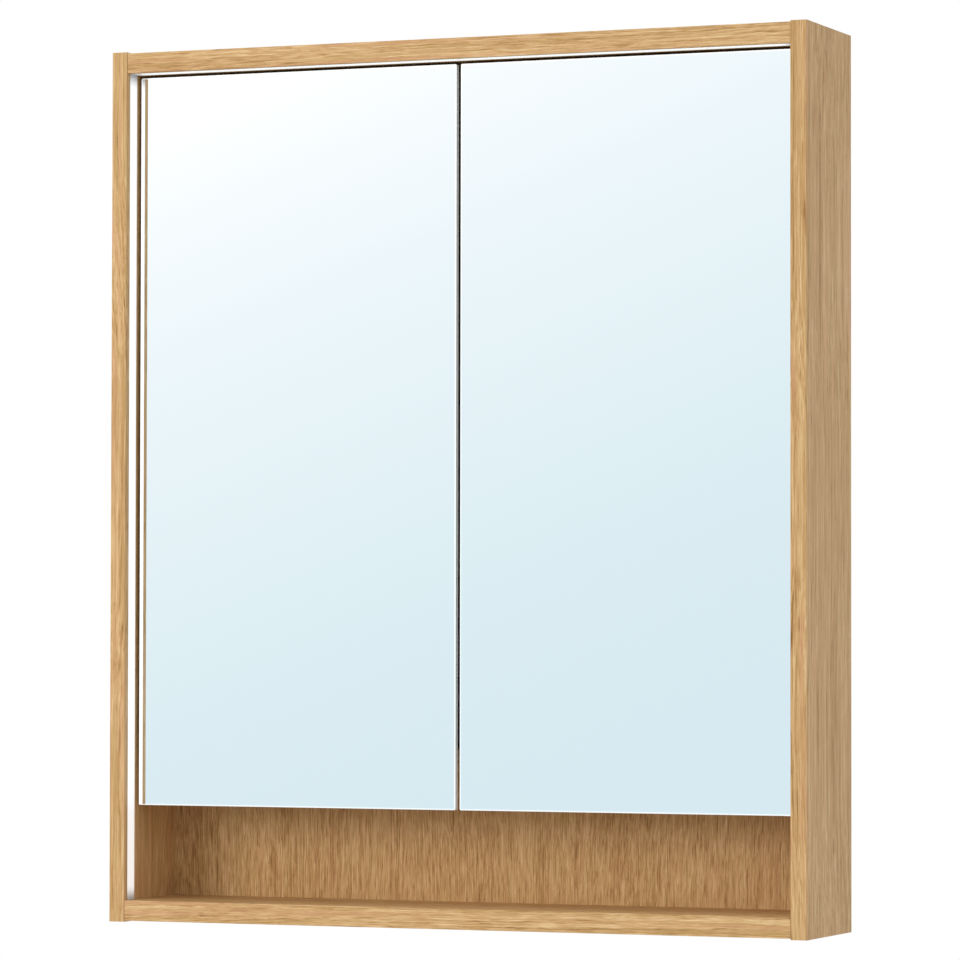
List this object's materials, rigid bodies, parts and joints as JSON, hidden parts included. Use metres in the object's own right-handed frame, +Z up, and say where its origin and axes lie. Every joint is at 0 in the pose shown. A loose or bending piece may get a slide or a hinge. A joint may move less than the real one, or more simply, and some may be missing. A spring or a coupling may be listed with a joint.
{
  "type": "mirror cabinet",
  "caption": "Wooden wall cabinet with hinged mirror doors, flush light strips round the front, glass shelves behind the doors and an open niche below.",
  "frame": {"origin": "centre of the bounding box's underside: midway between the outer faces, midway in depth, at the side panels' lower ends", "axes": "+X to the right as seen from the front, -Y towards the viewer, +Y towards the wall, +Z up"},
  "size_m": [0.8, 0.15, 0.95],
  "materials": {
    "oak_side": "satin oak veneer, grain upright",
    "oak_board": "satin oak veneer, grain across",
    "oak_back": "satin oak veneer, grain upright",
    "beech": "plain turned beech",
    "channel_aluminium": "satin anodised",
    "light_cover": "opal diffusing plastic",
    "white_circuit": "white circuit strip",
    "white_plastic": "smooth moulded",
    "shelf_glass": "clear with polished edges",
    "mirror_glass": "silvered, polished bevel",
    "backing_board": "light grey laminate",
    "plated_steel": "nickel plated",
    "zinc_steel": "zinc plated",
    "cap_plastic": "oak coloured moulded",
    "driver_plastic": "fine textured moulding",
    "green_circuit": "circuit board",
    "black_rubber": "smooth",
    "magnet": "nickel plated magnet"
  },
  "bodies": {
    "cabinet": {"left_side_panel": "oak_side", "right_side_panel": "oak_side", "top_board": "oak_board", "bottom_board": "oak_board", "niche_ceiling_board": "oak_board", "back_panel": "oak_back", "left_light_channel": "channel_aluminium", "right_light_channel": "channel_aluminium", "top_light_channel": "channel_aluminium", "left_light_diffuser": "light_cover", "right_light_diffuser": "light_cover", "top_light_diffuser": "light_cover", "left_led_strip": "white_circuit", "right_led_strip": "white_circuit", "top_led_strip": "white_circuit", "light_corner_connectors": "white_plastic", "lower_glass_shelf": "shelf_glass", "middle_glass_shelf": "shelf_glass", "upper_glass_shelf": "shelf_glass", "shelf_pins": "plated_steel", "panel_dowels": "beech", "cam_bolts": "zinc_steel", "cam_locks": "zinc_steel", "cam_caps": "cap_plastic", "left_upper_hinge_arm": "plated_steel", "left_lower_hinge_arm": "plated_steel", "right_upper_hinge_arm": "plated_steel", "right_lower_hinge_arm": "plated_steel", "arm_screws": "zinc_steel", "catch_sleeves": "white_plastic", "catch_magnets": "magnet", "left_hanger_bracket": "zinc_steel", "right_hanger_bracket": "zinc_steel", "wall_rail": "zinc_steel", "bracket_screws": "zinc_steel", "driver_case": "driver_plastic", "driver_cover": "driver_plastic", "driver_circuit_board": "green_circuit", "driver_screws": "zinc_steel", "mains_gland": "black_rubber"},
    "left_door": {"left_mirror_glass": "mirror_glass", "left_door_backing": "backing_board", "left_strike_plate": "zinc_steel", "left_leaf_screws": "zinc_steel", "left_upper_hinge_leaf": "plated_steel", "left_lower_hinge_leaf": "plated_steel", "left_upper_hinge_pin": "plated_steel", "left_lower_hinge_pin": "plated_steel"},
    "right_door": {"right_mirror_glass": "mirror_glass", "right_door_backing": "backing_board", "right_strike_plate": "zinc_steel", "right_leaf_screws": "zinc_steel", "right_upper_hinge_leaf": "plated_steel", "right_lower_hinge_leaf": "plated_steel", "right_upper_hinge_pin": "plated_steel", "right_lower_hinge_pin": "plated_steel"}
  },
  "joints": [
    {"name": "left_door_swing", "type": "hinge", "parent": "cabinet", "child": "left_door", "pos_m": [-0.37247, -0.0422, 0.525], "axis": [0, 0, -1], "range_deg": [0, 90]},
    {"name": "right_door_swing", "type": "hinge", "parent": "cabinet", "child": "right_door", "pos_m": [0.37247, -0.0422, 0.525], "axis": [0, 0, 1], "range_deg": [0, 90]}
  ]
}
